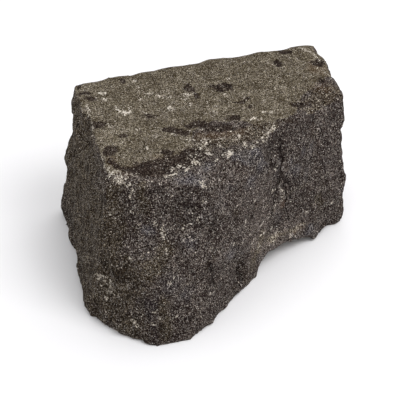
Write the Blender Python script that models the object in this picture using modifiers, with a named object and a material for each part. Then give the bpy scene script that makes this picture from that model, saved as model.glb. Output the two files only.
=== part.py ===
"""Basalt column block: a chunk split from a basalt column, one solid stone.

The block lies on one flat natural joint. Its top is the opposite joint, still flat and weathered, and
its back is a third. The left flank, the front and the right end are fractures, where the stone broke.

Frame: metres, +Z up, +X along the long back joint, origin at the centre of the box's base.
"""

import math

import bmesh
import bpy
from mathutils import Euler, Matrix, Vector, noise

MM = 0.001

# Heights of the levels that the corner points below are given at, in millimetres
TOP = 150.0
EDGE = 144.0
CHAMFER_FOOT = 138.0
MIDDLE = 55.0
WAIST = 36.0
FOOT = 0.0

# The left half, with the lobe: (x, y) corners in millimetres, anticlockwise from the back left
LEFT_HALF = {
    TOP: (
        (-115, 99), (-113, 20), (-109, -45), (-90, -54), (-58, -57), (-33, -48), (-1, -44), (24, -35),
        (42, -16), (42, 110), (0, 106), (-78, 102),
    ),
    CHAMFER_FOOT: ((-115, -47), (-96, -58), (-62, -63), (-30, -63), (1, -55), (29, -40), (41, -19)),
    MIDDLE: ((64, -16),),
    WAIST: ((-132, 100), (-133, -49), (-104, -84), (-66, -96)),
    FOOT: (
        (-137, 100), (-136, 60), (-141, -36), (-139, -57), (-111, -93), (-97, -101), (-87, -110),
        (-53, -109), (-18, -82), (16, -55), (30, -43), (42, -2), (42, 107), (-60, 105),
    ),
}

# The right half, whose front wall stands behind the lobe
RIGHT_HALF = {
    TOP: (
        (-40, 0), (44, -15), (62, -1), (89, 36), (115, 60), (120, 80), (123, 111), (60, 113), (0, 107),
        (-40, 105),
    ),
    EDGE: ((128, 32), (128, 56), (129, 86), (129, 104), (126, 111), (96, 112)),
    CHAMFER_FOOT: ((-20, -44), (61, -7), (128, 24)),
    FOOT: ((-30, -68), (29, -42), (80, -20), (134, 11), (140, 102), (112, 109), (-40, 106)),
}

# Shell-shaped hollows left by flakes: centre, radii and turn about X, Y, Z, in millimetres and degrees
SCOOPS = {
    "undercut_arch": ((62, -21, -4), (41, 38, 19.5), (0, 13, 27)),
    "right_foot_chip": ((111, -6, -2), (19, 11, 10), (0, 0, 27)),
    "hollow_below_front_edge": ((-52, -98, 122), (36, 32, 24), (-14, 0, 0)),
    "lobe_groove_right": ((10, -65, 28), (9, 12, 24), (0, 0, 41)),
    "lobe_foot_nick": ((-14, -90, 6), (12, 9, 15), (0, 0, 38)),
    "lobe_groove_left": ((-18, -90, 48), (8, 12, 21), (8, 0, 41)),
    "left_edge_flake": ((-141, 40, 138), (29, 44, 34), (0, -8, 0)),
    "left_corner_nick": ((-134, 104, 110), (16, 24, 18), (0, 0, 40)),
    "left_foot_flake": ((-153, 26, 8), (22, 44, 24), (0, 0, 4)),
    "left_ridge_notch": ((-139, -72, 43), (22, 20, 14), (0, 20, -30)),
    "toe_left_break": ((-134, -93, 2), (20, 19, 26), (0, 0, 30)),
    "toe_right_break": ((-18, -115, 4), (34, 20, 26), (0, 0, 38)),
    "right_shoulder_chip": ((134, 50, 160), (22, 24, 18), (0, 18, 0)),
    "back_foot_flake": ((40, 130, 6), (58, 26, 30), (0, 0, 4)),
    "right_end_flake": ((160, 66, 66), (28, 40, 52), (0, 6, 0)),
    "right_edge_chip": ((145, 8, 58), (15, 18, 24), (0, 0, 20)),
    "back_right_flake": ((130, 126, 74), (22, 22, 52), (0, 0, 0)),
    "back_middle_flake": ((-56, 134, 58), (48, 30, 34), (0, 0, 4)),
    "right_end_step": ((154, 84, 116), (26, 24, 28), (0, 0, 0)),
    "top_front_spall": ((8, -20, 153.5), (46, 31, 6), (0, 0, 14)),
    "top_left_spall": ((-56, -47, 152), (36, 15, 4), (0, 0, 8)),
}

# Lumps that stand out of a fracture: centre, radii and turn about X, Y, Z, in millimetres and degrees
LUMPS = {
    "left_foot_lump": ((-126, 92, 14), (12, 13, 17), (0, 0, 0)),
    "left_shelf": ((-121, 88, 70), (11, 12, 25), (0, 0, 0)),
    "lobe_belly": ((-72, -58, 46), (46, 40, 46), (-16, 0, 0)),
}

# Segments and rings of each hollow's or lump's ellipsoid
ELLIPSOID_GRID = (28, 18)

# Side of the even grid that the relief is laid on, and rounds of smoothing that soften the hollows' rims
COARSE_CELL = 3.2 * MM
SOFTENING_ROUNDS = 2

# Relief: size of a layer's features, their height on joints and on fractures, and the layer's mean value
SWELL = {"size": 78 * MM, "joint": 0.9 * MM, "fracture": 2.6 * MM, "mean": 0.0}
SCALLOP = {"size": 27 * MM, "joint": 0.3 * MM, "fracture": 3.4 * MM, "mean": 0.42}
HACKLE = {"size": 11 * MM, "joint": 0.5 * MM, "fracture": 1.5 * MM, "mean": 0.53}
SCALLOP_SHIFT = Vector((3.7, 1.9, 8.2))
RIDGE_GAIN = 1.4

# Each noise's falloff from one octave to the next, the ratio of their scales, and their number
SWELL_OCTAVES = (1.0, 2.0, 2)
HACKLE_OCTAVES = (0.9, 2.1, 3)
HACKLE_OFFSET = 0.4

# A face counts as a joint from the first to the second value of its normal along Z, or along +Y
JOINT_NORMAL = (0.82, 0.96)
BACK_JOINT_SHARE = 0.72

# How much further the underside is pushed down, and the height below which it is pressed onto z = 0
FOOT_BIAS = 0.9 * MM
FLAT_BELOW = 0.3 * MM

TRIANGLES = 9000
BASALT_COLOUR = (0.075, 0.066, 0.060, 1.0)
BASALT_ROUGHNESS = 0.85


def smoothstep(low, high, value):
    """0 below low, 1 above high, and a smooth ramp between."""
    share = min(max((value - low) / (high - low), 0.0), 1.0)
    return share * share * (3.0 - 2.0 * share)


def clear_scene():
    """Removes every object of the open scene."""
    for old in list(bpy.data.objects):
        bpy.data.objects.remove(old)


def new_collection(name):
    """A collection of that name, linked to the scene."""
    made = bpy.data.collections.new(name)
    bpy.context.scene.collection.children.link(made)
    return made


def helper_object(name, shape, collection):
    """An object made from a bmesh, which is freed, and kept out of the render."""
    mesh = bpy.data.meshes.new(name)
    shape.to_mesh(mesh)
    shape.free()
    helper = bpy.data.objects.new(name, mesh)
    helper.hide_render = True
    helper.display_type = "WIRE"
    collection.objects.link(helper)
    return helper


def hull(name, levels, collection):
    """A helper solid: the convex hull of its corner points, given level by level in millimetres."""
    shape = bmesh.new()
    for z, corners in levels.items():
        for x, y in corners:
            shape.verts.new(Vector((x, y, z)) * MM)
    result = bmesh.ops.convex_hull(shape, input=shape.verts)
    inside = [v for v in result["geom_interior"] if isinstance(v, bmesh.types.BMVert)]
    bmesh.ops.delete(shape, geom=inside, context="VERTS")
    bmesh.ops.recalc_face_normals(shape, faces=shape.faces)
    return helper_object(name, shape, collection)


def ellipsoid(name, centre, radii, turn, collection):
    """A helper ellipsoid that a Boolean joins to the block or cuts away from it."""
    shape = bmesh.new()
    segments, rings = ELLIPSOID_GRID
    bmesh.ops.create_uvsphere(shape, u_segments=segments, v_segments=rings, radius=1.0)
    size = Matrix.Diagonal((*radii, 1.0))
    rotation = Euler([math.radians(a) for a in turn]).to_matrix().to_4x4()
    place = Matrix.Translation(Vector(centre) * MM) @ rotation @ Matrix.Scale(MM, 4) @ size
    bmesh.ops.transform(shape, matrix=place, verts=shape.verts)
    return helper_object(name, shape, collection)


def add_boolean(block, helper, operation):
    """Joins the helper to the block or cuts it away."""
    modifier = block.modifiers.new(helper.name, "BOOLEAN")
    modifier.operation = operation
    modifier.object = helper
    modifier.solver = "EXACT"


def evaluated_mesh(item):
    """A new mesh: the object's mesh with its modifiers applied."""
    bpy.context.view_layer.update()
    graph = bpy.context.evaluated_depsgraph_get()
    return bpy.data.meshes.new_from_object(item.evaluated_get(graph))


def even_mesh(block):
    """The block as an even grid of small faces."""
    remesh = block.modifiers.new("even_grid", "REMESH")
    remesh.mode = "VOXEL"
    remesh.voxel_size = COARSE_CELL
    remesh.adaptivity = 0.0
    return evaluated_mesh(block)


def coarser_mesh(stone):
    """The stone with its faces merged down to the wanted number of triangles."""
    decimate = stone.modifiers.new("fewer_faces", "DECIMATE")
    decimate.ratio = TRIANGLES / sum(len(face.vertices) - 2 for face in stone.data.polygons)
    mesh = evaluated_mesh(stone)
    stone.modifiers.remove(decimate)
    return mesh


def soften(mesh):
    """Rounds the rims of the flake hollows a little, as weather does."""
    shape = bmesh.new()
    shape.from_mesh(mesh)
    for _ in range(SOFTENING_ROUNDS):
        bmesh.ops.smooth_vert(
            shape, verts=shape.verts, factor=0.5, use_axis_x=True, use_axis_y=True, use_axis_z=True
        )
    shape.to_mesh(mesh)
    shape.free()


def scallop(point):
    """Dished cells with ridges between them: 0 at a cell's middle and about 1 on a ridge."""
    distances, _ = noise.voronoi((point + SCALLOP_SHIFT) / SCALLOP["size"])
    return min(RIDGE_GAIN * distances[0] ** 2, 1.0)


def relief(point, joint_share):
    """How far the surface stands out at a point, in metres, from swells, dished flakes and hackle."""
    layers = (
        (SWELL, noise.fractal(point / SWELL["size"], *SWELL_OCTAVES)),
        (SCALLOP, scallop(point)),
        (HACKLE, noise.hetero_terrain(point / HACKLE["size"], *HACKLE_OCTAVES, HACKLE_OFFSET)),
    )
    height = 0.0
    for layer, value in layers:
        amount = layer["joint"] * joint_share + layer["fracture"] * (1.0 - joint_share)
        height += amount * (value - layer["mean"])
    return height


def joint_share_at(normal):
    """1 on the flat top and foot, a little less on the rougher back joint, 0 on the fractures."""
    low, high = JOINT_NORMAL
    return max(smoothstep(low, high, abs(normal.z)), BACK_JOINT_SHARE * smoothstep(low, high, normal.y))


def lay_relief(mesh):
    """Moves each vertex along its normal by the relief, and the underside a little further down."""
    normals = [v.normal.copy() for v in mesh.vertices]
    for vertex, normal in zip(mesh.vertices, normals):
        share = joint_share_at(normal)
        height = relief(vertex.co, share)
        if normal.z < 0.0:
            height += FOOT_BIAS * share
        vertex.co += normal * height


def press_foot_flat(mesh):
    """Puts everything that is below or almost on z = 0 exactly onto it."""
    for vertex in mesh.vertices:
        if vertex.co.z < FLAT_BELOW:
            vertex.co.z = 0.0
    mesh.update()


def centre_on_base(mesh):
    """Moves the mesh so that the origin is at the centre of its box's base."""
    middle = Vector((0.0, 0.0, 0.0))
    for axis in range(2):
        places = [v.co[axis] for v in mesh.vertices]
        middle[axis] = (min(places) + max(places)) / 2
    mesh.transform(Matrix.Translation(-middle))


def basalt_material():
    """Dark grey-brown stone, rough and not metallic."""
    material = bpy.data.materials.new("basalt")
    material.use_nodes = True
    shader = material.node_tree.nodes["Principled BSDF"]
    shader.inputs["Base Color"].default_value = BASALT_COLOUR
    shader.inputs["Roughness"].default_value = BASALT_ROUGHNESS
    shader.inputs["Metallic"].default_value = 0.0
    return material


def basalt_block(stone_parts, helpers):
    """The finished stone: two hulls, lumps, flake hollows, relief, then fewer and larger faces."""
    block = hull("left_half", LEFT_HALF, helpers)
    add_boolean(block, hull("right_half", RIGHT_HALF, helpers), "UNION")
    for name, (centre, radii, turn) in LUMPS.items():
        add_boolean(block, ellipsoid(name, centre, radii, turn, helpers), "UNION")
    for name, (centre, radii, turn) in SCOOPS.items():
        add_boolean(block, ellipsoid(name, centre, radii, turn, helpers), "DIFFERENCE")
    mesh = even_mesh(block)
    bpy.data.objects.remove(block)
    soften(mesh)
    lay_relief(mesh)
    press_foot_flat(mesh)
    stone = bpy.data.objects.new("basalt_block", mesh)
    stone_parts.objects.link(stone)
    stone.data = coarser_mesh(stone)
    press_foot_flat(stone.data)
    centre_on_base(stone.data)
    stone.data.materials.clear()
    stone.data.materials.append(basalt_material())


def main():
    """Builds the block in an emptied scene."""
    clear_scene()
    stone_parts = new_collection("basalt_column_block")
    helpers = new_collection("helpers")
    basalt_block(stone_parts, helpers)


main()
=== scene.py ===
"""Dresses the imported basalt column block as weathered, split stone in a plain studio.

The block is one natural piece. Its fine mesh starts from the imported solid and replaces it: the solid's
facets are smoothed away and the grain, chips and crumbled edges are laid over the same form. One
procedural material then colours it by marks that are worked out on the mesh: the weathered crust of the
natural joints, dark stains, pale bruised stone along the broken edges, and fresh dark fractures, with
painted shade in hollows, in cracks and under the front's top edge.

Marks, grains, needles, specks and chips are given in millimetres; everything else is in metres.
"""

import logging
import math
from collections.abc import Callable
from dataclasses import dataclass, field
from enum import Enum

import bmesh
import bpy
import numpy as np
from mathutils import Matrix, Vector, noise


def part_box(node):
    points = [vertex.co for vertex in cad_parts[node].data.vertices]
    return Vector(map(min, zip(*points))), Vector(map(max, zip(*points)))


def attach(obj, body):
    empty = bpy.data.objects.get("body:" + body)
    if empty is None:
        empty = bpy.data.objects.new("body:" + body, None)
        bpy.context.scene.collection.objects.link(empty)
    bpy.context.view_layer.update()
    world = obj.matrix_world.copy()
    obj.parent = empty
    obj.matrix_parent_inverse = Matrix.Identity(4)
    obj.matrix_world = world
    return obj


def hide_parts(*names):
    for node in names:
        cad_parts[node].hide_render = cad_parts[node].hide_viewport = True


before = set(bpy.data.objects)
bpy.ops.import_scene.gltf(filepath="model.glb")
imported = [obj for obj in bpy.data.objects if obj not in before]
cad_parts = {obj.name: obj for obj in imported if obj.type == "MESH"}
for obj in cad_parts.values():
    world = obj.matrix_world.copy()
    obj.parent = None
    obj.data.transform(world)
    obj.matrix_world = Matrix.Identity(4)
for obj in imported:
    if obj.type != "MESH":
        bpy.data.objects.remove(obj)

MM = 0.001
NODE = "basalt_block"
BODY = "root"

# A screen's colour values against linear light: a straight part near black, then a curve.
STRAIGHT_END = 0.04045
STRAIGHT_SLOPE = 12.92
CURVE_OFFSET = 0.055
CURVE_POWER = 2.4

# How squarely a surface faces a side's way where that side's marks begin, and where they are full.
FACING = (0.3, 0.6)

log = logging.getLogger("basalt_block")

Colour = tuple[float, float, float, float]
Socket = bpy.types.NodeSocket
Range = tuple[float, float]
Route = tuple[tuple[float, float], ...]


def tone(red: int, green: int, blue: int) -> Colour:
    """Turns a colour as seen on a screen into the linear colour that shaders use.

    Args:
        red: 0 to 255.
        green: 0 to 255.
        blue: 0 to 255.

    Returns:
        Linear red, green, blue and an alpha of 1.
    """
    linear = []
    for part in (red / 255.0, green / 255.0, blue / 255.0):
        curved = ((part + CURVE_OFFSET) / (1.0 + CURVE_OFFSET)) ** CURVE_POWER
        linear.append(part / STRAIGHT_SLOPE if part <= STRAIGHT_END else curved)
    return (linear[0], linear[1], linear[2], 1.0)


def ramp(values: np.ndarray, low: float, high: float) -> np.ndarray:
    """A smooth step from 0 at low to 1 at high.

    Args:
        values: The numbers to step.
        low: Where the step starts.
        high: Where it ends.

    Returns:
        An array like values, from 0 to 1.
    """
    share = np.clip((values - low) / (high - low), 0.0, 1.0)
    return share * share * (3.0 - 2.0 * share)


def fading(distance: np.ndarray) -> np.ndarray:
    """1 at distance 0, a half at 1, and 0 from 2 on."""
    return np.clip(1.0 - 0.5 * distance, 0.0, 1.0)


class Mark(Enum):
    """What the surface carries at a place, or the painted shade that it is given in hollows, cracks and shade
    zones. Each value is the name of a mesh attribute.
    """

    CRUST = "crust"
    STAIN = "stain"
    BRUISE = "bruise"
    FRESH = "fresh"
    RUST = "rust"
    CRUMBLE = "crumble"
    FILM = "film"
    # Cracks: cut into the mesh, and painted near black inside as painted shade.
    CRACK = "crack"
    # Zones that move the tone up or down; some of the darkening ones are painted shade.
    SHADE = "shade"
    STREAK = "streak"
    # Painted shade: the hollows of the finished shape get a darker tone.
    HOLLOW = "hollow"
    WORN = "worn"


class Side(Enum):
    """A side of the stone: the two axes that places on it are given by, and the way that it faces."""

    TOP = (0, 1, (0, 0, 1))
    FRONT = (0, 2, (0, -1, 0))
    FLANK = (1, 2, (-1, 0, 0))
    BACK = (0, 2, (0, 1, 0))
    END = (1, 2, (1, 0, 0))

    def flatten(self, points: np.ndarray) -> np.ndarray:
        """The points' places on this side, two numbers a row."""
        return points[:, [self.value[0], self.value[1]]]

    def facing(self, normals: np.ndarray) -> np.ndarray:
        """1 where the surface faces this side's way, 0 where it faces another."""
        return ramp(normals @ np.array(self.value[2], float), *FACING)


@dataclass(frozen=True)
class Oval:
    """A soft-edged oval area of a mark, in millimetres on one side of the stone.

    Attributes:
        place: Its middle.
        radii: Half its length and half its width, where the mark's strength has fallen to a half.
        turn: Turn of its length from the side's first axis, in degrees.
        strength: How strong the mark is in the middle, 1 for full.
    """

    place: tuple[float, float]
    radii: tuple[float, float]
    turn: float
    strength: float

    def field(self, flat: np.ndarray) -> np.ndarray:
        """The mark's strength: full in the middle, 0 at twice the radii.

        Args:
            flat: Places on the side, one a row.

        Returns:
            The strength at each place.
        """
        angle = math.radians(self.turn)
        across, up = (flat - np.array(self.place)).T
        along = across * math.cos(angle) + up * math.sin(angle)
        aside = up * math.cos(angle) - across * math.sin(angle)
        distance = np.hypot(along / self.radii[0], aside / self.radii[1])
        return self.strength * fading(distance)


@dataclass(frozen=True)
class Trace:
    """A soft-edged line of a mark, in millimetres on one side of the stone.

    Attributes:
        width: Half its width, where the mark's strength has fallen to a half.
        strength: How strong the mark is along its middle, 1 for full.
        route: The places that it runs through.
    """

    width: float
    strength: float
    route: Route

    def field(self, flat: np.ndarray) -> np.ndarray:
        """The mark's strength: full on the line, 0 at twice the width.

        Args:
            flat: Places on the side, one a row.

        Returns:
            The strength at each place.
        """
        distance = np.full(len(flat), np.inf)
        for start, end in zip(np.array(self.route, float), np.array(self.route[1:], float)):
            run = end - start
            share = np.clip(((flat - start) @ run) / (run @ run), 0.0, 1.0)
            distance = np.minimum(distance, np.linalg.norm(flat - start - share[:, None] * run, axis=1))
        return self.strength * fading(distance / self.width)


def ovals(*rows: tuple[float, ...]) -> tuple[Oval, ...]:
    """Ovals from rows of two places, two radii, turn and strength."""
    return tuple(Oval(row[0:2], row[2:4], row[4], row[5]) for row in rows)


def traces(width: float, strength: float, *routes: Route) -> tuple[Trace, ...]:
    """Traces of one width and strength, one for each route."""
    return tuple(Trace(width, strength, route) for route in routes)


Shapes = tuple[Oval | Trace, ...]

# The places of each mark, in millimetres on the side that they are listed by.
STAINS: dict[Side, Shapes] = {
    Side.TOP: (
        *traces(7.5, 1.3, ((-80, -42), (-65, -41), (-52, -38), (-40, -37), (-29, -35))),
        *traces(3.0, 0.9, ((-104, -24), (-100, -36), (-84, -44))),
        *traces(3.6, 1.25, ((-46, 8), (-39, 4), (-31, -2)), ((-25, 6), (-18, 11), (-10, 2), (12, -4))),
        *traces(1.8, 1.1, ((-8, 58), (-6, 48)), ((32, 33), (40, 35)), ((52, -6), (67, -6))),
        *ovals(
            (-100, -12, 7, 5, 15, 1.4),
            (-85, 7, 3, 2.5, 0, 1.3),
            (-105, 30, 5, 4.5, 0, 1.35),
            (-107, 80, 5, 2.4, -15, 1.3),
            (-104, 71, 4, 2.2, -20, 1.3),
            (-108, 94, 3, 2.6, 0, 1.3),
            (-68, 91, 2.6, 3, 0, 1.3),
            (-54, -24, 5, 3, -20, 1.3),
            (-58, 31, 7, 5, 0, 0.8),
            (-9, 63, 3.6, 5, 10, 1.4),
            (20, 58, 8, 5, -15, 1.4),
            (28, 32, 4.5, 2, -10, 1.35),
            (34, 22, 2, 2.4, 0, 1.3),
            (17, 10, 6, 4, 5, 1.35),
            (81, 83, 3.4, 5, 10, 1.4),
            (95, 99, 6, 3.6, -20, 1.35),
            (81, 15, 7, 2.6, 0, 1.35),
            (118, 75, 6, 5, -25, 1.35),
            (112, 46, 4, 2.4, 0, 1.3),
            (89, 15, 4, 3, 0, 1.2),
        ),
    ),
    Side.BACK: ovals((-70, 96, 30, 14, 12, 0.9), (40, 62, 18, 26, 30, 0.8), (96, 30, 14, 22, 0, 0.8)),
}

BRUISES: dict[Side, Shapes] = {
    Side.TOP: (
        *traces(1.1, 0.85, ((-110, 64), (-109, 35), (-113, 22), (-114, 5), (-111, -30), (-108, -43))),
        *traces(1.0, 1.6, ((-86, 50), (-82, 45)), ((-80, 44), (-73, 42)), ((-90, 80), (-86, 75))),
        *traces(1.0, 1.2, ((-84, 56), (-83, 50)), ((-92, 68), (-89, 64)), ((-60, 88), (-56, 86))),
        *traces(1.1, 0.8, ((41, -17), (54, -12)), ((114, 66), (124, 50)), ((-60, 40), (-58, 36))),
        *traces(1.0, 2.0, ((-42, 62), (-40, 58)), ((-36, 40), (-33, 35)), ((-69, -13), (-69, -17))),
        *traces(1.6, 1.1, ((110, 101), (117, 91), (120, 78))),
        *ovals(
            (-99, -47, 5, 1.6, -10, 1.2),
            (-56, -54, 3.6, 1.8, 15, 1.4),
            (-35, -44, 2.8, 2, 20, 1.8),
            (-1, -41, 3.6, 1.5, 25, 2.0),
            (31, 2, 2.6, 1.3, 40, 2.0),
            (15, -18, 1.4, 1.4, 0, 2.0),
            (-22, -14, 16, 10, 40, 0.3),
            (8, -22, 20, 9, 0, 0.25),
            (-30, -36, 14, 6, 35, 0.35),
            (-96, -45, 12, 5, -10, 0.45),
        ),
    ),
    Side.FRONT: (
        *traces(1.1, 1.1, ((-75, 111), (-72, 106), (-70, 101)), ((-104, 22), (-103, 17))),
        *traces(1.0, 0.95, ((-94, 139), (-95, 134)), ((-133, 38), (-131, 50), (-121, 54), (-118, 46))),
        *traces(1.1, 0.5, ((-53, 103), (-40, 108)), ((-109, 146), (-112, 132)), ((51, 98), (57, 72))),
        *traces(1.1, 0.5, ((45, 30), (56, 38)), ((65, 24), (73, 30)), ((73, 22), (79, 28))),
        *ovals(
            (-32, 140, 3.2, 1.1, -35, 1.6),
            (-77, 148, 2.4, 1.2, 0, 1.2),
            (-99, 145, 1.6, 1.4, 0, 1.2),
            (-68, 87, 1.2, 2.6, 30, 1.0),
            (-37, 111, 1, 1.6, 0, 1.4),
            (-86, 34, 1, 1, 0, 1.6),
            (118, 32, 1.6, 1, 40, 1.3),
        ),
    ),
    Side.END: traces(1.4, 0.7, ((-40, 62), (-22, 74), (4, 70)), ((30, 118), (44, 104))),
    Side.BACK: traces(1.4, 0.7, ((-110, 148), (-84, 145), (-60, 149)), ((20, 146), (52, 143), (70, 147))),
}

# Cracks: carved into the mesh, and filled with near-black painted shade in the material.
SHADED_CRACKS: dict[Side, Shapes] = {
    Side.FRONT: (
        *traces(1.2, 1.05, ((55, 134), (57, 104), (59, 76), (63, 42)), ((58, 92), (65, 80), (66, 60))),
        *traces(2.0, 0.75, ((-74, 145), (-67, 138)), ((-31, 66), (-26, 38)), ((3, 26), (7, 12))),
        *traces(1.8, 0.7, ((-55, 138), (-46, 135)), ((-38, 136), (-24, 135)), ((-22, 106), (-29, 90))),
        *traces(1.6, 0.65, ((19, 142), (16, 133)), ((83, 102), (84, 90)), ((5, 116), (18, 78))),
    ),
    Side.END: traces(1.6, 1.0, ((-30, 130), (-24, 96), (-34, 60)), ((38, 70), (42, 40), (34, 22))),
    Side.BACK: traces(1.5, 1.0, ((-30, 120), (-24, 82), (-33, 40)), ((70, 110), (84, 92), (88, 60))),
    Side.FLANK: traces(1.5, 0.95, ((66, 128), (60, 96), (63, 70)), ((10, 122), (6, 100))),
}

FRESH_ROCK: dict[Side, Shapes] = {
    Side.TOP: ovals((15, -42, 13, 6, 10, 1.3), (-25, -52, 8, 6, 0, 0.8), (-45, -55, 7, 5, 0, 0.7)),
    Side.FRONT: ovals(
        (-44, 145, 20, 6, -8, 0.72),
        (-84, 106, 7, 5, -30, 0.9),
        (-48, 90, 11, 8, 30, 0.65),
        (28, 134, 7, 10, 0, 0.9),
        (-7, 61, 9, 15, 25, 0.62),
        (89, 17, 7, 5, -20, 1.0),
        (70, 95, 6, 9, 0, 0.75),
        (14, 124, 7, 10, 0, 0.7),
        (-55, 44, 11, 12, -45, 0.58),
    ),
    Side.END: ovals((-10, 110, 16, 12, 20, 0.8), (40, 40, 14, 20, 0, 0.7)),
}

RUSTS: dict[Side, Shapes] = {
    Side.TOP: (
        *traces(8.0, 0.8, ((-96, -43), (-65, -46)), ((-16, -10), (17, -9)), ((-62, -32), (-41, -37))),
        *ovals((-103, -25, 5, 8, 0, 0.9), (115, 68, 9, 12, -20, 0.95), (109, 38, 14, 9, 0, 0.7)),
    ),
    Side.FRONT: ovals((57, 66, 3.5, 6, 0, 1.0), (75, 25, 7, 4, 0, 0.8)),
    Side.BACK: ovals((-84, 60, 22, 30, 0, 0.6), (24, 120, 16, 8, 0, 0.7)),
}

CRUMBLED: dict[Side, Shapes] = {
    Side.TOP: traces(
        10.0, 0.95, ((-28, -33), (-17, -16), (8, -18), (24, -14), (40, -14)), ((88, 13), (104, 24), (118, 32))
    ),
    Side.FRONT: traces(5.0, 0.65, ((38, 34), (57, 32), (80, 27))),
}

FILMS: dict[Side, Shapes] = {
    Side.FRONT: (
        *traces(12.0, 1.0, ((-113, 140), (-117, 109), (-120, 61), (-125, 24), (-108, 14))),
        *traces(6.0, 0.95, ((-68, 89), (-76, 78), (-104, 63)), ((-77, 45), (-77, 12))),
        *traces(5.0, 0.9, ((-85, 144), (-86, 121)), ((30, 49), (21, 18)), ((98, 50), (102, 36))),
    ),
    Side.FLANK: traces(60.0, 1.3, ((-30, 60), (60, 90))),
}

# Zones that move the grain's tone up or down. Those below 0 darken it: on the front, the ones under the top
# edge, under the ledge at its lower left and in the recess at its right are painted shade.
SHADES: dict[Side, Shapes] = {
    Side.TOP: ovals(
        (-97, 8, 18, 12, -10, 1.1),
        (-60, 40, 60, 40, 0, 0.2),
        (40, 20, 30, 14, 0, 0.3),
        (-92, 60, 20, 14, -30, 0.4),
        (-70, 28, 16, 12, -50, 0.5),
        (100, 28, 16, 9, 25, -0.5),
    ),
    Side.FRONT: ovals(
        # These four are painted shade: under the front's top edge, under the ledge at its lower left, and in
        # the recess at its right.
        (-60, 126, 20, 13, 0, -1.3),
        (-112, 64, 14, 5, -15, -1.3),
        (-98, 124, 7, 18, 0, -0.5),
        (42, 132, 12, 12, -60, -1.6),
        (-28, 53, 7, 16, 0, -0.5),
        (5, 15, 6, 10, 0, -0.6),
        (-90, 18, 30, 10, 0, -0.6),
        (33, 86, 18, 34, 10, 1.2),
        (60, 30, 22, 8, 0, 2.1),
        (24, 38, 9, 20, 0, 1.3),
        (-56, 145, 22, 6, 0, 1.6),
        (0, 142, 22, 8, -10, 0.5),
    ),
    Side.FLANK: ovals((40, 110, 60, 40, 0, 0.7), (50, 21, 20, 7, 0, -0.8), (-20, 20, 16, 10, 0, -0.6)),
    Side.END: ovals((-20, 90, 16, 24, 0, -0.7), (30, 60, 20, 16, 0, 0.6), (70, 110, 16, 14, 0, -0.6)),
    Side.BACK: ovals((-60, 40, 30, 20, 0, -0.6), (60, 90, 30, 24, 0, 0.6), (0, 110, 30, 14, 0, -0.5)),
}


@dataclass(frozen=True)
class Crumbs:
    """Crushed crumbs strewn at random beside a line, in millimetres on one side of the stone.

    Attributes:
        route: The line.
        spread: How far beside it they lie.
        count: How many there are.
        radii: The smallest and the largest.
        seed: Start of the random draws.
        stretch: How many times longer than wide they are, at least and at most.
        strengths: The faintest and the strongest.
    """

    route: Route
    spread: float
    count: int
    radii: Range
    seed: int
    stretch: Range = (1.0, 1.8)
    strengths: Range = (0.6, 1.2)

    def ovals(self) -> tuple[Oval, ...]:
        """The crumbs, each a small oval.

        Returns:
            One oval a crumb.
        """
        draw = np.random.default_rng(self.seed)
        corners = np.array(self.route, float)
        steps = np.linalg.norm(np.diff(corners, axis=0), axis=1)
        reached = np.concatenate([[0.0], np.cumsum(steps)])
        found = []
        for _ in range(self.count):
            along = draw.uniform(0.0, reached[-1])
            place = [np.interp(along, reached, corners[:, axis]) for axis in (0, 1)]
            place = place + draw.normal(0.0, self.spread, 2)
            size = draw.uniform(*self.radii)
            radii = (size * draw.uniform(*self.stretch), size)
            turn = draw.uniform(-90.0, 90.0)
            found.append(Oval(tuple(place), radii, turn, draw.uniform(*self.strengths)))
        return tuple(found)


STREWN: dict[Side, tuple[Crumbs, ...]] = {
    Side.TOP: (
        Crumbs(((-110, -40), (-100, -46), (-88, -48)), 2.5, 18, (1.0, 1.8), 3),
        Crumbs(((-60, -53), (-36, -44), (-24, -32), (-18, -14)), 3.5, 36, (1.0, 1.8), 5),
        Crumbs(((-14, -42), (10, -38), (26, -24), (54, -12)), 3.0, 26, (1.0, 1.6), 7),
        Crumbs(((-8, -18), (26, -8)), 5.0, 14, (1.0, 1.6), 8),
        Crumbs(((-100, 70), (-50, 20), (60, 60)), 26.0, 50, (1.1, 1.7), 9),
    ),
    Side.FRONT: (
        Crumbs(((-104, 140), (-90, 110), (-70, 100)), 12.0, 7, (1.0, 1.3), 11),
        Crumbs(((-70, 100), (-60, 60), (-80, 20)), 18.0, 14, (1.0, 1.3), 12),
        Crumbs(((-30, 110), (10, 80), (30, 40)), 18.0, 9, (1.0, 1.3), 13),
        Crumbs(((-130, 44), (-112, 40)), 5.0, 8, (1.1, 1.5), 14),
    ),
    Side.END: (Crumbs(((-60, 20), (0, 80), (60, 120)), 24.0, 30, (1.1, 1.8), 15),),
    Side.BACK: (Crumbs(((-120, 100), (0, 60), (110, 100)), 34.0, 44, (1.1, 1.8), 16),),
    Side.FLANK: (Crumbs(((-30, 120), (20, 60), (70, 40)), 20.0, 16, (1.1, 1.6), 17),),
}


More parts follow.
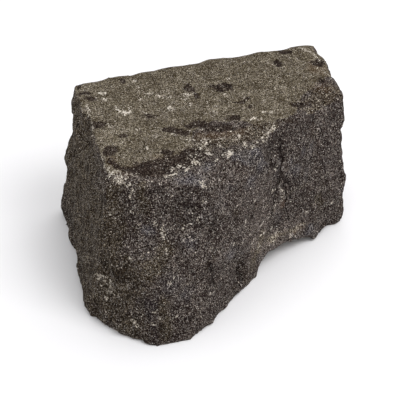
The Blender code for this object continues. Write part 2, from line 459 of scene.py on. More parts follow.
@dataclass(frozen=True)
class MarkMap:
    """Where each mark lies on the stone.

    Attributes:
        crust_edge: Outline, seen from above, of the part of the top that kept its weathered crust.
        crust_fade: Width over which the crust thins out at that outline.
        level: How level the top is where the crust begins, and where it is full.
        square: The same for the back joint and the foot, by how squarely they face outward.
        back_crust: How full the crust is on the back joint.
        foot_crust: How full it is underneath.
        placed: The single areas and lines of each mark, by side.
        strewn: The crumbs, which count as bruises, by side.
        wander: Size and reach of each noise that the outlines of the areas wander by.
        seed: Start of that noise's random draws.
        streaked_left: How squarely the flank faces left where streaks begin, and where they are full.
        streaked_front: The same for the broken front.
        front_streaks: Strength of the streaks on the front.
        wall_streaks: What the recessed wall at its right adds to it.
        wall: Where that wall begins, and where it is reached.
    """

    crust_edge: Route = (
        (-127, 115), (-127, -42), (-103, -42), (-84, -39), (-63, -35), (-45, -32), (-31, -24), (-24, 0),
        (-4, 10), (8, 6), (24, 2), (37, -7), (56, -9), (74, 4), (84, 24), (101, 36), (112, 48), (141, 60),
        (141, 115),
    )
    crust_fade: float = 14.0
    level: Range = (0.55, 0.85)
    square: Range = (0.6, 0.9)
    back_crust: float = 0.95
    foot_crust: float = 0.8
    placed: dict[Mark, dict[Side, Shapes]] = field(
        default_factory=lambda: {
            Mark.STAIN: STAINS,
            Mark.BRUISE: BRUISES,
            Mark.CRACK: SHADED_CRACKS,
            Mark.FRESH: FRESH_ROCK,
            Mark.RUST: RUSTS,
            Mark.CRUMBLE: CRUMBLED,
            Mark.FILM: FILMS,
            Mark.SHADE: SHADES,
        }
    )
    strewn: dict[Side, tuple[Crumbs, ...]] = field(default_factory=lambda: STREWN)
    wander: tuple[Range, ...] = ((12.0, 3.6), (4.5, 1.8))
    seed: int = 3
    streaked_left: Range = (0.35, 0.75)
    streaked_front: Range = (0.3, 0.7)
    front_streaks: float = 0.3
    wall_streaks: float = 0.75
    wall: Range = (45.0, 62.0)

    def crust_field(self, points: np.ndarray, normals: np.ndarray) -> np.ndarray:
        """How much weathered crust there is at each point, 0.5 at its edge.

        Args:
            points: Points in millimetres, one a row.
            normals: The surface's normals there.

        Returns:
            0 to 1: full on the kept part of the top, nearly full on the back joint and underneath.
        """
        corners = np.array(self.crust_edge)
        ends = np.roll(corners, -1, axis=0)
        inside = np.zeros(len(points), bool)
        nearest = np.full(len(points), np.inf)
        x, y = points[:, 0], points[:, 1]
        for (x0, y0), (x1, y1) in zip(corners, ends):
            run, rise = x1 - x0, y1 - y0
            if rise:
                crosses = ((y0 > y) != (y1 > y)) & (x < run * (y - y0) / rise + x0)
                inside ^= crosses
            share = np.clip(((x - x0) * run + (y - y0) * rise) / (run * run + rise * rise), 0.0, 1.0)
            nearest = np.minimum(nearest, np.hypot(x - x0 - share * run, y - y0 - share * rise))
        signed = np.where(inside, nearest, -nearest)
        top = np.clip(0.5 + signed / self.crust_fade, 0.0, 1.0) * ramp(normals[:, 2], *self.level)
        back = self.back_crust * ramp(normals[:, 1], *self.square)
        foot = self.foot_crust * ramp(-normals[:, 2], *self.square)
        return np.maximum.reduce([top, back, foot])

    def fields(self, points: np.ndarray, normals: np.ndarray) -> dict[Mark, np.ndarray]:
        """The strength of every placed mark at each point.

        Args:
            points: Points in millimetres, one a row.
            normals: The surface's normals there.

        Returns:
            One array for each mark but those that come from the finished mesh's own shape. Shades add
            up and may be negative; of any other mark, the strongest area counts.
        """
        found = {Mark.CRUST: self.crust_field(points, normals)}
        noise.seed_set(self.seed)
        for size, reach in self.wander:
            points = points + reach * np.array([noise.noise_vector(Vector(p)) for p in points / size])
        for mark, sides in self.placed.items():
            merge = np.add if mark is Mark.SHADE else np.maximum
            found[mark] = np.zeros(len(points))
            for side, shapes in sides.items():
                flat, facing = side.flatten(points), side.facing(normals)
                strewn = self.strewn.get(side, ()) if mark is Mark.BRUISE else ()
                crumbs = [oval for crumb in strewn for oval in crumb.ovals()]
                for shape in (*shapes, *crumbs):
                    found[mark] = merge(found[mark], facing * shape.field(flat))
        front = self.wall_streaks * ramp(points[:, 0], *self.wall) + self.front_streaks
        front = front * ramp(-normals[:, 1], *self.streaked_front)
        found[Mark.STREAK] = np.maximum(ramp(-normals[:, 0], *self.streaked_left), front)
        return found


@dataclass(frozen=True)
class Layer:
    """One layer of fine relief.

    Attributes:
        size: Size of its features.
        upright: How many times taller than wide they are.
        fracture: Its height on broken faces.
        crust: Its height on weathered joints.
        crumble: Its height where the edge has crumbled.
        shape: Gives a value of about -1 to 1 at a point measured in the layer's own size.
    """

    size: float
    upright: float
    fracture: float
    crust: float
    crumble: float
    shape: Callable[[Vector], float]

    def values(self, points: np.ndarray) -> np.ndarray:
        """The layer's value at each point."""
        own = points / np.array([self.size, self.size, self.size * self.upright])
        return np.array([self.shape(Vector(point)) for point in own])


def chipped(point: Vector) -> float:
    """Small dished chips with sharp ridges between them.

    Args:
        point: A point, measured in chips.

    Returns:
        From -1 in a dish to 1 on a ridge.
    """
    steepness, ridge = 2.4, 2.0
    distances, _ = noise.voronoi(point)
    return min(steepness * distances[0] ** 2, ridge) - 1.0


def granular(point: Vector) -> float:
    """Uneven grains.

    Args:
        point: A point, measured in grains.

    Returns:
        From about -1 to 1.
    """
    smoothness, finer, octaves = 0.8, 2.2, 3
    return noise.fractal(point, smoothness, finer, octaves)


def faceted(point: Vector) -> float:
    """Small flat planes that meet in sharp steps, each tilted its own way.

    Args:
        point: A point, measured in planes.

    Returns:
        From about -1 to 1.
    """
    slope, stagger, tilt_place, level_place = 1.5, 0.35, 7.3, 3.1
    _, centres = noise.voronoi(point)
    centre = centres[0]
    tilt = 2.0 * noise.cell_vector(centre * tilt_place) - Vector((1.0, 1.0, 1.0))
    level = 2.0 * noise.cell(centre * level_place) - 1.0
    return slope * (point - centre).dot(tilt) + stagger * level


@dataclass(frozen=True)
class MarkRelief:
    """How far a mark raises the surface.

    Attributes:
        mark: The mark.
        height: How far it raises the surface; below 0 it cuts in.
        reach: The mark's strength where that begins, and where it is full.
    """

    mark: Mark
    height: float
    reach: Range


@dataclass
class StoneMesh:
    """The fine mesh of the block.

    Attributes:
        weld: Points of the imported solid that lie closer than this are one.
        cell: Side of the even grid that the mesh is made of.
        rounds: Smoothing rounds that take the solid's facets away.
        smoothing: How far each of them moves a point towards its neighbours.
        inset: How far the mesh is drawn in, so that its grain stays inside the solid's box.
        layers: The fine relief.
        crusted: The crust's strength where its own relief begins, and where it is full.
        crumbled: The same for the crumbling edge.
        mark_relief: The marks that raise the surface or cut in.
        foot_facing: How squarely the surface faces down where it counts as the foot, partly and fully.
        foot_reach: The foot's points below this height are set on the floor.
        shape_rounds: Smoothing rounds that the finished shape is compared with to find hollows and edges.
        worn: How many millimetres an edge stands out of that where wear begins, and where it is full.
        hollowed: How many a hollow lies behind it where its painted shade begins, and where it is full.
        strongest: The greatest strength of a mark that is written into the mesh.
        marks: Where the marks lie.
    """

    weld: float = 0.01 * MM
    cell: float = 1.75 * MM
    rounds: int = 2
    smoothing: float = 0.5
    inset: float = 0.35 * MM
    layers: tuple[Layer, ...] = (
        Layer(15.0 * MM, 1.5, 0.6 * MM, 0.1 * MM, 0.6 * MM, faceted),
        Layer(6.5 * MM, 1.4, 0.42 * MM, 0.07 * MM, 0.8 * MM, faceted),
        Layer(9.0 * MM, 1.2, 0.3 * MM, 0.05 * MM, 0.5 * MM, chipped),
        Layer(4.5 * MM, 1.2, 0.3 * MM, 0.1 * MM, 0.8 * MM, granular),
    )
    crusted: Range = (0.3, 0.7)
    crumbled: Range = (0.3, 0.8)
    mark_relief: tuple[MarkRelief, ...] = (
        MarkRelief(Mark.STAIN, -0.35 * MM, (0.45, 0.65)),
        MarkRelief(Mark.CRACK, -1.3 * MM, (0.4, 0.9)),
        MarkRelief(Mark.BRUISE, 0.4 * MM, (0.4, 0.8)),
    )
    foot_facing: Range = (0.9, 0.98)
    foot_reach: float = 0.5 * MM
    shape_rounds: int = 6
    worn: Range = (0.12, 0.75)
    hollowed: Range = (0.08, 0.5)
    strongest: float = 1.5
    marks: MarkMap = field(default_factory=MarkMap)

    def build(self) -> bpy.types.Object:
        """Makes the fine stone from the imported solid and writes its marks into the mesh.

        Returns:
            The new object, in the frame and linked to the scene.
        """
        mesh = self._even_mesh(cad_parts[NODE])
        stone = bpy.data.objects.new("basalt_stone", mesh)
        bpy.context.scene.collection.objects.link(stone)
        points, normals = self._surface(mesh)
        fields = self.marks.fields(points / MM, normals)
        self._lay_relief(mesh, points, normals, fields)
        self._add_shape_marks(mesh, fields)
        for mark, values in fields.items():
            attribute = mesh.attributes.new(mark.value, "FLOAT", "POINT")
            written = np.clip(values, -self.strongest, self.strongest)
            attribute.data.foreach_set("value", written.astype(np.float32))
        mesh.shade_smooth()
        return stone

    def _even_mesh(self, solid: bpy.types.Object) -> bpy.types.Mesh:
        """Copies the solid's mesh as an even, smoothed grid of small faces.

        Args:
            solid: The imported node, which stays as it is.

        Returns:
            The new mesh.
        """
        shape = bmesh.new()
        shape.from_mesh(solid.data)
        bmesh.ops.remove_doubles(shape, verts=shape.verts, dist=self.weld)
        mesh = bpy.data.meshes.new("basalt_stone")
        shape.to_mesh(mesh)
        shape.free()
        holder = bpy.data.objects.new("stone_blank", mesh)
        bpy.context.scene.collection.objects.link(holder)
        remesh = holder.modifiers.new("even_grid", "REMESH")
        remesh.mode = "VOXEL"
        remesh.voxel_size = self.cell
        smooth = holder.modifiers.new("facets_off", "SMOOTH")
        smooth.factor = self.smoothing
        smooth.iterations = self.rounds
        bpy.context.view_layer.update()
        graph = bpy.context.evaluated_depsgraph_get()
        even = bpy.data.meshes.new_from_object(holder.evaluated_get(graph))
        bpy.data.objects.remove(holder)
        even.materials.clear()
        return even

    def _rows(self, source: bpy.types.bpy_prop_collection, name: str) -> np.ndarray:
        """Vectors of a mesh as an array.

        Args:
            source: What holds them, such as the mesh's points.
            name: What they are called there.

        Returns:
            The vectors, one a row.
        """
        flat = np.empty(3 * len(source), np.float32)
        source.foreach_get(name, flat)
        return flat.reshape(-1, 3).astype(float)

    def _surface(self, mesh: bpy.types.Mesh) -> tuple[np.ndarray, np.ndarray]:
        """The mesh's points and its normals there."""
        return self._rows(mesh.vertices, "co"), self._rows(mesh.vertex_normals, "vector")

    def _lay_relief(
        self,
        mesh: bpy.types.Mesh,
        points: np.ndarray,
        normals: np.ndarray,
        fields: dict[Mark, np.ndarray],
    ) -> None:
        """Moves the mesh's points along their normals by the fine relief, and keeps the foot flat.

        Args:
            mesh: The mesh to change.
            points: Its points.
            normals: Its normals.
            fields: The marks, which say how rough each place is.
        """
        crust = ramp(fields[Mark.CRUST], *self.crusted)
        crumble = ramp(fields[Mark.CRUMBLE], *self.crumbled)
        height = np.full(len(points), -self.inset)
        for layer in self.layers:
            amount = layer.fracture + (layer.crust - layer.fracture) * crust
            amount = amount + (layer.crumble - amount) * crumble
            height += amount * layer.values(points)
        for relief in self.mark_relief:
            height += relief.height * ramp(fields[relief.mark], *relief.reach)
        foot = ramp(-normals[:, 2], *self.foot_facing)
        height *= 1.0 - foot
        moved = points + normals * height[:, None]
        moved[:, 2] = np.maximum(moved[:, 2], 0.0)
        moved[(foot > 0.5) & (moved[:, 2] < self.foot_reach), 2] = 0.0
        low, high = (np.array(corner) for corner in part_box(NODE))
        moved = np.clip(moved, low, high)
        mesh.vertices.foreach_set("co", moved.astype(np.float32).ravel())
        mesh.update()

    def _add_shape_marks(self, mesh: bpy.types.Mesh, fields: dict[Mark, np.ndarray]) -> None:
        """Adds the marks that follow from the finished shape: painted shade in hollows and wear on edges.

        Args:
            mesh: The finished mesh.
            fields: The marks, which get the two new ones.
        """
        points, normals = self._surface(mesh)
        edges = np.empty(2 * len(mesh.edges), np.int32)
        mesh.edges.foreach_get("vertices", edges)
        first, second = edges.reshape(-1, 2).T
        degree = np.bincount(np.concatenate([first, second]), minlength=len(points)).astype(float)

        def spread(values: np.ndarray, rounds: int) -> np.ndarray:
            """Averages values with their neighbours'.

            Args:
                values: A number or a vector for each point.
                rounds: How many times they are averaged.

            Returns:
                The values, more even the more rounds there are.
            """
            for _ in range(rounds):
                total = np.zeros_like(values)
                np.add.at(total, first, values[second])
                np.add.at(total, second, values[first])
                count = degree if values.ndim == 1 else degree[:, None]
                values = 0.5 * values + 0.5 * total / count
            return values

        middle = spread(points, self.shape_rounds)
        bulge = spread(((points - middle) * normals).sum(axis=1) / MM, 1)
        fields[Mark.WORN] = ramp(bulge, *self.worn)
        # Painted shade: the hollows of the finished shape get a darker tone.
        fields[Mark.HOLLOW] = ramp(-bulge, *self.hollowed)


class NodeSheet:
    """Adds nodes to a node tree and links them."""

    def __init__(self, tree: bpy.types.NodeTree) -> None:
        """Starts with the tree as it is.

        Args:
            tree: The node tree to add to.
        """
        self.tree = tree

    def add(self, kind: str, inputs: dict | None = None, **settings: object) -> bpy.types.Node:
        """Adds one node.

        Args:
            kind: The node's type name.
            inputs: A value or a socket for each input, by name or number.
            settings: The node's own settings.

        Returns:
            The new node.
        """
        node = self.tree.nodes.new(kind)
        for name, value in settings.items():
            setattr(node, name, value)
        for name, value in (inputs or {}).items():
            if isinstance(value, Socket):
                self.tree.links.new(value, node.inputs[name])
            else:
                node.inputs[name].default_value = value
        return node

    def math(self, operation: str, *values: Socket | float) -> Socket:
        """A Math node's result."""
        return self.add("ShaderNodeMath", dict(enumerate(values)), operation=operation).outputs[0]

    def scaled(self, value: Socket, factor: Socket | float, offset: Socket | float = 0.0) -> Socket:
        """The value times a factor, plus an offset."""
        return self.math("MULTIPLY_ADD", value, factor, offset)

    def share(self, value: Socket, part: float) -> Socket:
        """A part of the value, or all of it where the part is 1."""
        return self.math("MULTIPLY", value, part) if part < 1.0 else value

    def step(self, value: Socket, low: Socket | float, high: Socket | float) -> Socket:
        """A smooth step.

        Args:
            value: What is stepped.
            low: Its value where the step is at 0.
            high: Its value where the step is at 1.

        Returns:
            The step, from 0 to 1.
        """
        inputs = {"Value": value, "From Min": low, "From Max": high}
        node = self.add("ShaderNodeMapRange", inputs, interpolation_type="SMOOTHSTEP")
        return node.outputs["Result"]

    def mix(self, share: Socket | float, first: Socket | Colour, second: Socket | Colour) -> Socket:
        """A mix of two colours."""
        return self.add("ShaderNodeMix", {0: share, 6: first, 7: second}, data_type="RGBA").outputs[2]

    def noise(self, position: Socket, scale: Socket | float, detail: float, roughness: float) -> Socket:
        """A Noise Texture's value, about 0.5 on average."""
        inputs = {"Vector": position, "Scale": scale, "Detail": detail, "Roughness": roughness}
        return self.add("ShaderNodeTexNoise", inputs).outputs[0]

    def swing(self, position: Socket, scale: Socket | float, detail: float, roughness: float) -> Socket:
        """A Noise Texture's value moved to be about 0 on average."""
        return self.math("SUBTRACT", self.noise(position, scale, detail, roughness), 0.5)

    def per_metre(self, size: Socket) -> Socket:
        """The scale of a texture whose features have a size in millimetres."""
        return self.math("DIVIDE", 1.0 / MM, size)

    def cells(self, position: Socket, scale: Socket) -> tuple[Socket, list[Socket]]:
        """Random cells.

        Args:
            position: Where they are looked up.
            scale: How many there are in a metre.

        Returns:
            The distance from the cell's middle, and three random numbers of 0 to 1 that belong to it.
        """
        found = self.add("ShaderNodeTexVoronoi", {"Vector": position, "Scale": scale}).outputs
        drawn = self.add("ShaderNodeSeparateColor", {0: found["Color"]})
        return found["Distance"], list(drawn.outputs)

    def shaken(self, position: Socket, size: Socket, share: float) -> Socket:
        """A position that is moved about, to bend what is drawn there.

        Args:
            position: The position.
            size: Size of the bends in millimetres.
            share: How far they reach, as a share of that size.

        Returns:
            The moved position.
        """
        shake = {"Vector": position, "Scale": self.per_metre(size), "Detail": 1.0}
        middle = {0: self.add("ShaderNodeTexNoise", shake).outputs["Color"], 1: (0.5, 0.5, 0.5)}
        swing = self.add("ShaderNodeVectorMath", middle, operation="SUBTRACT")
        reach = {0: swing.outputs[0], "Scale": self.math("MULTIPLY", size, share * MM)}
        swing = self.add("ShaderNodeVectorMath", reach, operation="SCALE")
        ends = {0: position, 1: swing.outputs[0]}
        return self.add("ShaderNodeVectorMath", ends, operation="ADD").outputs[0]

    def group(self, tree: bpy.types.NodeTree, inputs: dict) -> dict[str, Socket]:
        """Places a node group and returns its outputs by name."""
        node = self.add("ShaderNodeGroup", inputs, node_tree=tree)
        return {output.name: output for output in node.outputs}


class NodeGroup:
    """A node group with named inputs and outputs."""

    def __init__(self, name: str, inputs: dict[str, str], outputs: dict[str, str]) -> None:
        """Makes the group and its sockets.

        Args:
            name: The group's name.
            inputs: Socket type of each input, by name.
            outputs: Socket type of each output, by name.
        """
        self.tree = bpy.data.node_groups.new(name, "ShaderNodeTree")
        for label, kind in inputs.items():
            self.tree.interface.new_socket(label, in_out="INPUT", socket_type=kind)
        for label, kind in outputs.items():
            self.tree.interface.new_socket(label, in_out="OUTPUT", socket_type=kind)
        self.sheet = NodeSheet(self.tree)
        self.inputs = self.tree.nodes.new("NodeGroupInput").outputs
        self._output = self.tree.nodes.new("NodeGroupOutput")

    def put_out(self, **results: Socket) -> None:
        """Links each result to the output of its name."""
        for label, socket in results.items():
            self.tree.links.new(socket, self._output.inputs[label])


FLOAT = "NodeSocketFloat"
VECTOR = "NodeSocketVector"


def ragged_edge_group() -> bpy.types.NodeTree:
    """A group that turns a soft field into a mask with a ragged edge where the field is 0.5.

    Returns:
        The group. Size is the raggedness's size in millimetres and Edge the softness of the edge.
    """
    detail, roughness, fully_ragged = 5.0, 0.72, 0.4
    group = NodeGroup(
        "ragged_edge",
        {"Field": FLOAT, "Position": VECTOR, "Size": FLOAT, "Ragged": FLOAT, "Edge": FLOAT},
        {"Mask": FLOAT},
    )
    sheet, put = group.sheet, group.inputs
    swing = sheet.swing(put["Position"], sheet.per_metre(put["Size"]), detail, roughness)
    rough = sheet.math("MULTIPLY", put["Ragged"], sheet.step(put["Field"], 0.0, fully_ragged))
    value = sheet.scaled(swing, rough, put["Field"])
    low = sheet.math("SUBTRACT", 0.5, put["Edge"])
    high = sheet.math("ADD", 0.5, put["Edge"])
    group.put_out(Mask=sheet.step(value, low, high))
    return group.tree


def needles_group() -> bpy.types.NodeTree:
    """A group that scatters thin needles, as the pale feldspar in basalt shows on a broken face.

    Returns:
        The group. Size is a needle's length in millimetres and Share how many of the places hold one.
        Tint is the mask times a strength that differs from needle to needle, and Hue is a number of
        0 to 1 that differs in the same way.
    """
    slimness, bend = (0.34, 0.34, 1.3), 0.35
    outside, core, unevenness = 0.34, 0.2, 2.0
    group = NodeGroup(
        "needles", {"Position": VECTOR, "Size": FLOAT, "Share": FLOAT}, {"Tint": FLOAT, "Hue": FLOAT}
    )
    sheet, put = group.sheet, group.inputs
    scale = sheet.per_metre(put["Size"])
    place = sheet.shaken(put["Position"], put["Size"], bend)
    tint = hue = None
    # Four sets of needles, each turned its own way and moved so that no two sets match.
    for turn in ((0.3, 0.1, 0.0), (-0.35, 0.35, 1.0), (0.1, -0.6, 2.0), (1.5, 0.5, 0.6)):
        settings = {"Vector": place, "Rotation": turn, "Scale": slimness, "Location": turn}
        mapping = sheet.add("ShaderNodeMapping", settings, vector_type="TEXTURE")
        distance, draws = sheet.cells(mapping.outputs[0], scale)
        chosen = sheet.math("LESS_THAN", draws[0], put["Share"])
        near = sheet.step(distance, outside, core)
        strength = sheet.math("MULTIPLY", chosen, sheet.math("POWER", draws[1], unevenness))
        found = sheet.math("MULTIPLY", near, strength)
        tint = found if tint is None else sheet.math("MAXIMUM", tint, found)
        hue = draws[2] if hue is None else hue
    group.put_out(Tint=tint, Hue=hue)
    return group.tree


def specks_group() -> bpy.types.NodeTree:
    """A group that scatters tiny pale crystals and dark pits.

    Returns:
        The group. Size is their spacing in millimetres; Pale and Dark are how many of the places hold a
        crystal or a pit. Crystal and Pit are the masks times a strength that differs from one to the next.
    """
    bend, outside, core = 0.8, 0.5, 0.25
    unevenness, gain, faintest = 2.0, 1.2, 0.15
    group = NodeGroup(
        "specks",
        {"Position": VECTOR, "Size": FLOAT, "Pale": FLOAT, "Dark": FLOAT},
        {"Crystal": FLOAT, "Pit": FLOAT},
    )
    sheet, put = group.sheet, group.inputs
    place = sheet.shaken(put["Position"], put["Size"], bend)
    distance, draws = sheet.cells(place, sheet.per_metre(put["Size"]))
    strength = sheet.scaled(sheet.math("POWER", draws[1], unevenness), gain, faintest)
    near = sheet.step(distance, outside, core)
    strength = sheet.math("MULTIPLY", near, sheet.math("MINIMUM", strength, 1.0))
    crystal = sheet.math("MULTIPLY", strength, sheet.math("LESS_THAN", draws[0], put["Pale"]))
    pit = sheet.math("MULTIPLY", strength, sheet.math("LESS_THAN", draws[2], put["Dark"]))
    group.put_out(Crystal=crystal, Pit=pit)
    return group.tree


def chips_group() -> bpy.types.NodeTree:
    """A group that breaks a soft field up into sharp-edged chips, the denser the stronger the field.

    Returns:
        The group. Size is a chip's size in millimetres.
    """
    bend, finer, finer_share = 0.9, 1.8, 0.35
    softness, none_below, all_above = 0.03, 0.05, 0.15
    group = NodeGroup("chips", {"Field": FLOAT, "Position": VECTOR, "Size": FLOAT}, {"Mask": FLOAT})
    sheet, put = group.sheet, group.inputs
    scale = sheet.per_metre(put["Size"])
    place = sheet.shaken(put["Position"], put["Size"], bend)
    _, whole = sheet.cells(place, scale)
    _, split = sheet.cells(place, sheet.math("MULTIPLY", scale, finer))
    draw = sheet.scaled(split[0], finer_share, whole[0])
    kept = sheet.step(sheet.math("SUBTRACT", put["Field"], draw), -softness, softness)
    group.put_out(Mask=sheet.math("MULTIPLY", kept, sheet.step(put["Field"], none_below, all_above)))
    return group.tree


def grains_group() -> bpy.types.NodeTree:
    """A group with the grains of a fine-grained rock.

    Returns:
        The group. Size is a grain's size in millimetres; Tone differs from grain to grain, from 0 for the
        darkest to 1 for the palest and 0.5 on average; Height is the grains' relief.
    """
    bend, finer, blur, detail, roughness = 0.9, 1.9, 0.4, 3.0, 0.6
    whole_tone, split_tone, blur_tone = 0.45, 0.35, 0.2
    whole_height, split_height, edge_height = 0.5, 0.3, -0.5
    group = NodeGroup("grains", {"Position": VECTOR, "Size": FLOAT}, {"Tone": FLOAT, "Height": FLOAT})
    sheet, put = group.sheet, group.inputs
    scale = sheet.per_metre(put["Size"])
    place = sheet.shaken(put["Position"], put["Size"], bend)
    distance, whole = sheet.cells(place, scale)
    _, split = sheet.cells(place, sheet.math("MULTIPLY", scale, finer))
    rough = sheet.noise(put["Position"], sheet.math("MULTIPLY", scale, blur), detail, roughness)
    tint = sheet.scaled(whole[0], whole_tone, sheet.math("MULTIPLY", split[0], split_tone))
    height = sheet.scaled(whole[1], whole_height, sheet.math("MULTIPLY", split[1], split_height))
    tint = sheet.scaled(rough, blur_tone, tint)
    group.put_out(Tone=tint, Height=sheet.scaled(distance, edge_height, height))
    return group.tree


@dataclass(frozen=True)
class Tones:
    """Colours of one kind of surface, from its darkest grains to its palest.

    Attributes:
        colours: The colours, dark to pale.
        places: The grain tone at which each is met.
    """

    colours: tuple[Colour, ...]
    places: tuple[float, ...] = (0.28, 0.41, 0.5, 0.61, 0.77)

    def node(self, sheet: NodeSheet, value: Socket) -> Socket:
        """Adds the colours to a node tree.

        Args:
            sheet: Where the node goes.
            value: The grain tone.

        Returns:
            The colour at each point.
        """
        node = sheet.add("ShaderNodeValToRGB", {0: value})
        elements = node.color_ramp.elements
        elements.remove(elements[1])
        elements[0].position, elements[0].color = self.places[0], self.colours[0]
        for place, colour in zip(self.places[1:], self.colours[1:]):
            elements.new(place).color = colour
        return node.outputs["Color"]


@dataclass(frozen=True)
class Clouds:
    """Soft random variation of the grain's tone.

    Attributes:
        scale: Features a metre.
        detail: How many finer layers it has.
        roughness: How strong each finer layer is.
        strength: How far it moves the tone.
    """

    scale: float
    detail: float
    roughness: float
    strength: float

    def swing(self, sheet: NodeSheet, place: Socket) -> Socket:
        """The variation, 0 on average, before its strength."""
        return sheet.swing(place, self.scale, self.detail, self.roughness)


@dataclass(frozen=True)
class Patches:
    """Soft patches with plain rock between them.

    Attributes:
        scale: Features a metre.
        detail: How many finer layers the patches' noise has.
        roughness: How strong each finer layer is.
        start: The noise's value at a patch's edge.
        full: Its value where the patch is full.
        share: How much of the patch shows there.
    """

    scale: float
    detail: float
    roughness: float
    start: float
    full: float
    share: float = 1.0

    def mask(self, sheet: NodeSheet, place: Socket) -> Socket:
        """The mask of the patches."""
        value = sheet.noise(place, self.scale, self.detail, self.roughness)
        return sheet.share(sheet.step(value, self.start, self.full), self.share)


@dataclass(frozen=True)
class Edge:
    """How a mark's soft field becomes a mask with a ragged edge.

    Attributes:
        size: The raggedness's size in millimetres.
        ragged: How far the edge strays.
        soft: How softly it fades.
        share: How much of the mark shows where it is full.
    """

    size: float
    ragged: float
    soft: float
    share: float = 1.0


@dataclass(frozen=True)
class GrainLook:
    """How the grain's tone varies over the stone. Sizes are in millimetres.

    Attributes:
        size: A grain's size.
        clump_size: Size of a clump of grains.
        clump: How far the clumps move the tone.
        middle: Tone of a middling grain.
        contrast: Contrast of the grains in calm rock.
        lively_contrast: What lively patches add to it.
        streak_contrast: What streaks add to it.
        lively: The patches of livelier rock.
        broad: Broad variation.
        streaks: Upright streaks.
        streak_scale: Their scale along each axis.
        by_mark: How far each mark moves the tone. Hollows and the darkening shade zones are painted shade;
            worn edges are paler.
    """

    size: float = 0.72
    clump_size: float = 2.0
    clump: float = 0.03
    middle: float = 0.401
    contrast: float = 0.98
    lively_contrast: float = 0.24
    streak_contrast: float = -0.14
    lively: Patches = Patches(85.0, 3.0, 0.55, 0.38, 0.62)
    broad: Clouds = Clouds(55.0, 4.0, 0.6, 0.1)
    streaks: Clouds = Clouds(620.0, 2.0, 0.6, 0.6)
    streak_scale: tuple[float, float, float] = (1.0, 1.0, 0.2)
    # Painted shade: hollows darken the tone, and so do the shade zones where their strength is below 0.
    by_mark: tuple[tuple[Mark, float], ...] = ((Mark.WORN, 0.08), (Mark.HOLLOW, -0.1), (Mark.SHADE, 0.08))


@dataclass(frozen=True)
class NeedleLook:
    """The needles. Lengths are in millimetres.

    Attributes:
        short: Length of the common needles.
        share: Share of the places that hold one in calm rock.
        lively_share: What lively patches add to it.
        long: Length of the rare ones.
        long_share: Share of the places that hold one.
        on_rock: How strongly needles show on broken rock.
        on_brown: What brown rock adds to that.
        on_crust: How strongly they show on the crust.
    """

    short: float = 2.4
    share: float = 0.36
    lively_share: float = 0.2
    long: float = 3.8
    long_share: float = 0.09
    on_rock: float = 0.72
    on_brown: float = -0.3
    on_crust: float = 0.6


@dataclass(frozen=True)
class SpeckLook:
    """The small crystals and pits. Sizes are in millimetres.

    Attributes:
        size: Spacing of the specks.
        pale: Share of the places that hold a crystal in calm rock.
        lively_pale: What lively patches add to it.
        crust_pale: What the crust adds to it.
        crumbly_pale: What the crumbling edge adds to it.
        dark: Share of the places that hold a pit.
        bold_size: Spacing of the larger, rarer crystals.
        bold_pale: Share of the places that hold one in calm rock.
        bold_lively: What lively patches add to it.
    """

    size: float = 0.85
    pale: float = 0.06
    lively_pale: float = 0.06
    crust_pale: float = -0.03
    crumbly_pale: float = 0.1
    dark: float = 0.06
    bold_size: float = 1.5
    bold_pale: float = 0.006
    bold_lively: float = 0.014


@dataclass(frozen=True)
class SurfaceLook:
    """The stone's gloss and its finest relief.

    Attributes:
        specular: How much it reflects, the same all over.
        roughness: Roughness of bare rock.
        needle_roughness: What a needle adds to it.
        crust_roughness: What the crust adds to it.
        clump_relief: Height of the clumps against that of the grains.
        dark_relief: Height of pits and cracks against it.
        strength: Strength of the bump.
        depth: Its full height.
    """

    specular: float = 0.08
    roughness: float = 0.9
    needle_roughness: float = -0.4
    crust_roughness: float = 0.08
    clump_relief: float = 0.4
    dark_relief: float = -1.0
    strength: float = 0.6
    depth: float = 0.4 * MM


